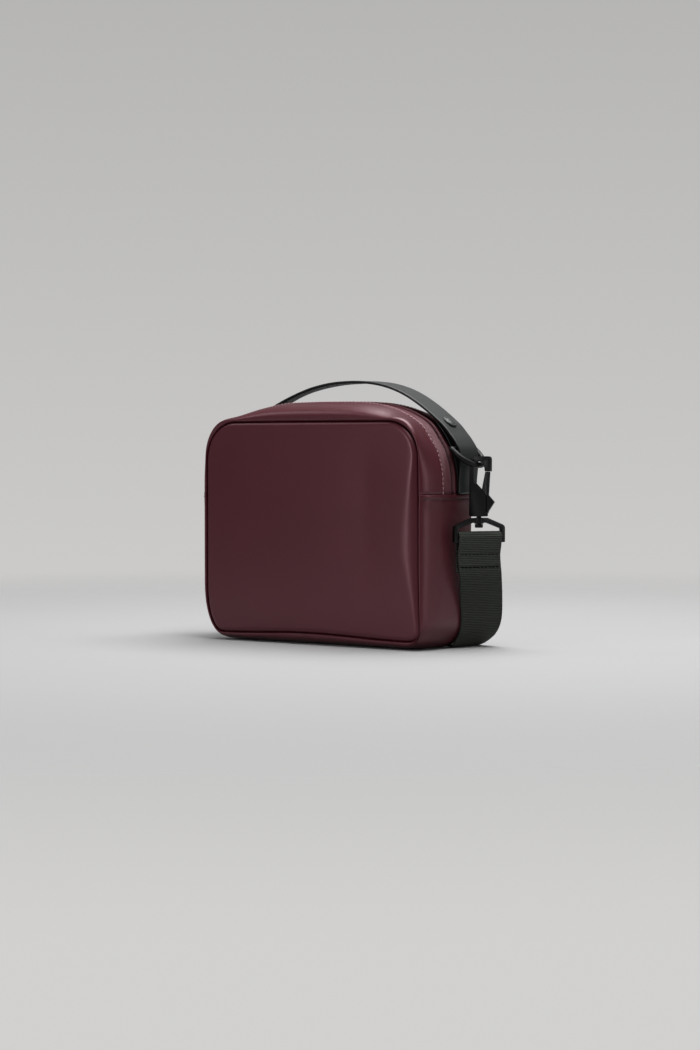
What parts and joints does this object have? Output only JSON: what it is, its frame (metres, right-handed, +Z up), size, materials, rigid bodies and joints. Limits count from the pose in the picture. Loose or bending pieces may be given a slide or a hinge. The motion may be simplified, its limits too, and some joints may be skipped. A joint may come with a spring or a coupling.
{
  "type": "box bag",
  "caption": "Boxy zip-top shoulder bag with a flat carry handle over the top, D-rings, swivel snap hooks and a looped webbing shoulder strap.",
  "frame": {"origin": "middle of the bag body's bottom, on the floor that it stands on", "axes": "+X to the bag's right as its front panel is seen, +Y from the front panel to the back, +Z up"},
  "size_m": [0.283, 0.1056, 0.2088],
  "materials": {
    "coated_fabric": "smooth matte coated fabric, burgundy brown",
    "zip_tape": "fine diagonal weave",
    "zip_coil": "matte",
    "coated_strap": "smooth dark grey coated strap",
    "black_metal": "satin black",
    "webbing": "ribbed dark grey webbing"
  },
  "bodies": {
    "bag": {"front_panel": "coated_fabric", "back_panel": "coated_fabric", "front_gusset": "coated_fabric", "rear_gusset": "coated_fabric", "lower_gusset": "coated_fabric", "front_zip_tape": "zip_tape", "rear_zip_tape": "zip_tape", "zip_coil": "zip_coil", "zip_slider": "black_metal", "handle": "coated_strap", "right_ring_tab": "coated_strap", "left_ring_tab": "coated_strap", "right_snap": "black_metal", "left_snap": "black_metal", "right_d_ring": "black_metal", "left_d_ring": "black_metal", "right_hook_body": "black_metal", "left_hook_body": "black_metal", "right_swivel": "black_metal", "left_swivel": "black_metal", "right_bracket": "black_metal", "left_bracket": "black_metal", "strap": "webbing"},
    "right_gate": {"right_gate": "black_metal"},
    "left_gate": {"left_gate": "black_metal"}
  },
  "joints": [
    {"name": "right_gate_hinge", "type": "hinge", "parent": "bag", "child": "right_gate", "pos_m": [0.13248, 0.01593, 0.1109], "axis": [0.2588, -0.9659, 0], "range_deg": [0, 18], "stiffness_Nm_per_rad": 0.004, "springref_deg": -9.74},
    {"name": "left_gate_hinge", "type": "hinge", "parent": "bag", "child": "left_gate", "pos_m": [-0.13248, 0.01593, 0.1109], "axis": [0.2588, 0.9659, 0], "range_deg": [0, 18], "stiffness_Nm_per_rad": 0.004, "springref_deg": -9.74}
  ]
}
